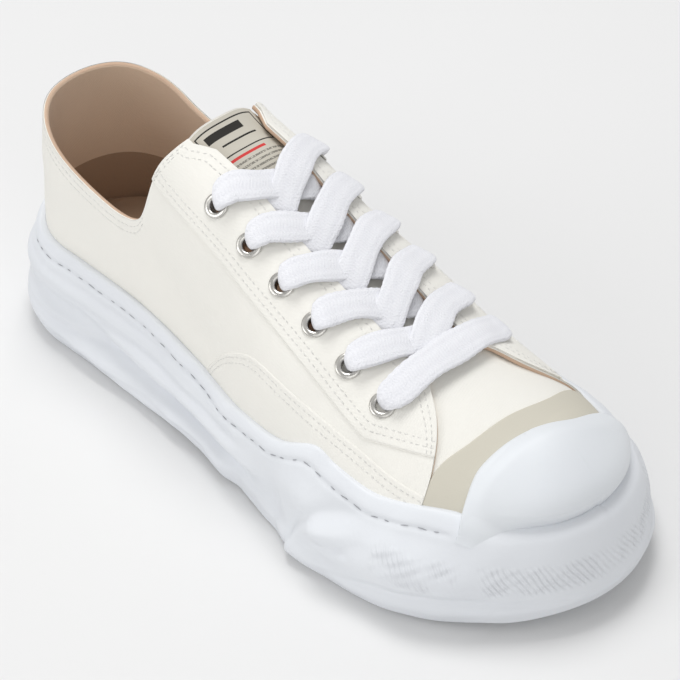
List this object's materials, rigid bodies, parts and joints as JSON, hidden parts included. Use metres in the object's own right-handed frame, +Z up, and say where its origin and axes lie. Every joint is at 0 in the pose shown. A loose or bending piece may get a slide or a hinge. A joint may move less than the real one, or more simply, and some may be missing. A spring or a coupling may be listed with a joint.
{
  "type": "canvas sneaker",
  "caption": "Low canvas sneaker for the right foot, with a thick hand-shaped wavy rubber sole, moulded toe cap, open collar and criss-cross flat lace",
  "frame": {"origin": "on the floor under the middle of the shoe's bounding box", "axes": "+Y from heel to toe, +X to the wearer's right, the outer side of this right shoe, +Z up"},
  "size_m": [0.1236, 0.3048, 0.1195],
  "materials": {
    "sole_rubber": "bluish white rubber, smooth and slightly satin, shaped as if by hand",
    "canvas": "off-white plain weave cotton canvas with double stitched seams",
    "tongue_canvas": "off-white canvas over thin padding, bound edge",
    "footbed": "tan cloth over foam",
    "tape": "beige matt rubber tape",
    "label_cloth": "woven greige label with a dark frame line and plain bars",
    "eyelet_metal": "nickel plated brass, worn satin",
    "lace_cotton": "white flat tubular cotton lace, soft weave"
  },
  "bodies": {
    "root": {"eyelet_lateral_1": "eyelet_metal", "eyelet_lateral_2": "eyelet_metal", "eyelet_lateral_3": "eyelet_metal", "eyelet_lateral_4": "eyelet_metal", "eyelet_lateral_5": "eyelet_metal", "eyelet_lateral_6": "eyelet_metal", "eyelet_medial_1": "eyelet_metal", "eyelet_medial_2": "eyelet_metal", "eyelet_medial_3": "eyelet_metal", "eyelet_medial_4": "eyelet_metal", "eyelet_medial_5": "eyelet_metal", "eyelet_medial_6": "eyelet_metal", "eyestay_lateral": "canvas", "eyestay_medial": "canvas", "insole": "footbed", "lace_bar": "lace_cotton", "lace_crossing_1": "lace_cotton", "lace_crossing_2": "lace_cotton", "lace_crossing_3": "lace_cotton", "lace_crossing_4": "lace_cotton", "lace_crossing_5": "lace_cotton", "sole": "sole_rubber", "toe_band": "tape", "toe_cap": "sole_rubber", "tongue": "tongue_canvas", "tongue_label": "label_cloth", "upper": "canvas"}
  },
  "joints": []
}
